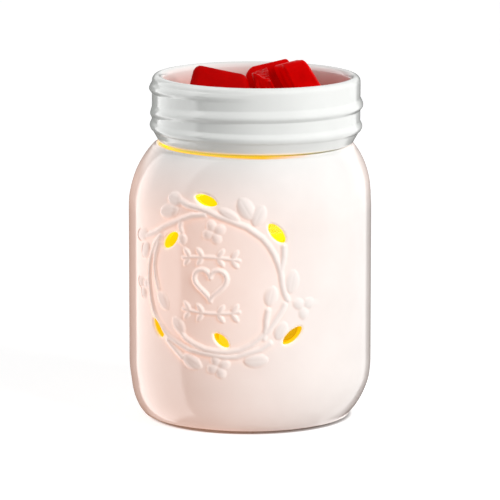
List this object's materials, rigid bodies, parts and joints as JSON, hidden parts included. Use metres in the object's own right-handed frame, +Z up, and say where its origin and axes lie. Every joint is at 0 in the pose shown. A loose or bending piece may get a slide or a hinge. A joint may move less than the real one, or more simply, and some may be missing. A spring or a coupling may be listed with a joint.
{
  "type": "bulb fragrance warmer",
  "caption": "Glazed ceramic jar lamp that melts scented wax: a leafy wreath with leaf-shaped light holes, a lift-off threaded-neck dish of wax blocks, and a twist-lock bulb on a bracket.",
  "frame": {"origin": "the middle of the base at the table's surface, on the jar's axis", "axes": "+Z up along the jar's axis, -Y out of the middle of the wreath, +Y towards the cord gland"},
  "size_m": [0.1084, 0.1107, 0.1618],
  "materials": {
    "jar_body": "white gloss glaze",
    "base_plate": "zinc plated",
    "base_gasket": "matte",
    "base_screw_1": "zinc plated",
    "base_screw_2": "zinc plated",
    "base_nut_1": "zinc plated",
    "base_nut_2": "zinc plated",
    "foot_1": "matte",
    "foot_2": "matte",
    "foot_3": "matte",
    "foot_4": "matte",
    "socket_bracket": "zinc plated",
    "holder_screw_1": "zinc plated",
    "holder_screw_2": "zinc plated",
    "lamp_holder": "unglazed",
    "holder_contact_1": "bright",
    "holder_contact_2": "bright",
    "bulb_cap": "unglazed",
    "bulb_pin_1": "nickel plated",
    "bulb_pin_2": "nickel plated",
    "bulb_reflector": "mirror-coated glass",
    "bulb_lens": "clear",
    "bulb_capsule": "clear, lit",
    "cord_gland": "matte",
    "terminal_block": "satin",
    "lead_live": "satin",
    "lead_neutral": "satin",
    "fragrance_dish": "white gloss glaze",
    "wax_melt_left": "smooth wax",
    "wax_melt_rear": "smooth wax",
    "wax_melt_right": "smooth wax",
    "wax_chunk": "smooth wax"
  },
  "bodies": {
    "body": {"jar_body": "jar_body", "base_plate": "base_plate", "base_gasket": "base_gasket", "base_screw_1": "base_screw_1", "base_screw_2": "base_screw_2", "base_nut_1": "base_nut_1", "base_nut_2": "base_nut_2", "foot_1": "foot_1", "foot_2": "foot_2", "foot_3": "foot_3", "foot_4": "foot_4", "socket_bracket": "socket_bracket", "holder_screw_1": "holder_screw_1", "holder_screw_2": "holder_screw_2", "lamp_holder": "lamp_holder", "holder_contact_1": "holder_contact_1", "holder_contact_2": "holder_contact_2", "cord_gland": "cord_gland", "terminal_block": "terminal_block", "lead_live": "lead_live", "lead_neutral": "lead_neutral"},
    "dish": {"fragrance_dish": "fragrance_dish", "wax_melt_left": "wax_melt_left", "wax_melt_rear": "wax_melt_rear", "wax_melt_right": "wax_melt_right", "wax_chunk": "wax_chunk"},
    "bulb": {"bulb_cap": "bulb_cap", "bulb_pin_1": "bulb_pin_1", "bulb_pin_2": "bulb_pin_2", "bulb_reflector": "bulb_reflector", "bulb_lens": "bulb_lens", "bulb_capsule": "bulb_capsule"}
  },
  "joints": [
    {"name": "dish_lift", "type": "slide", "parent": "body", "child": "dish", "axis": [0, 0, 1], "range_m": [0, 0.06]},
    {"name": "bulb_twist", "type": "hinge", "parent": "body", "child": "bulb", "pos_m": [0, 0, 0.038], "axis": [0, 0, 1], "range_deg": [0, 30]}
  ]
}
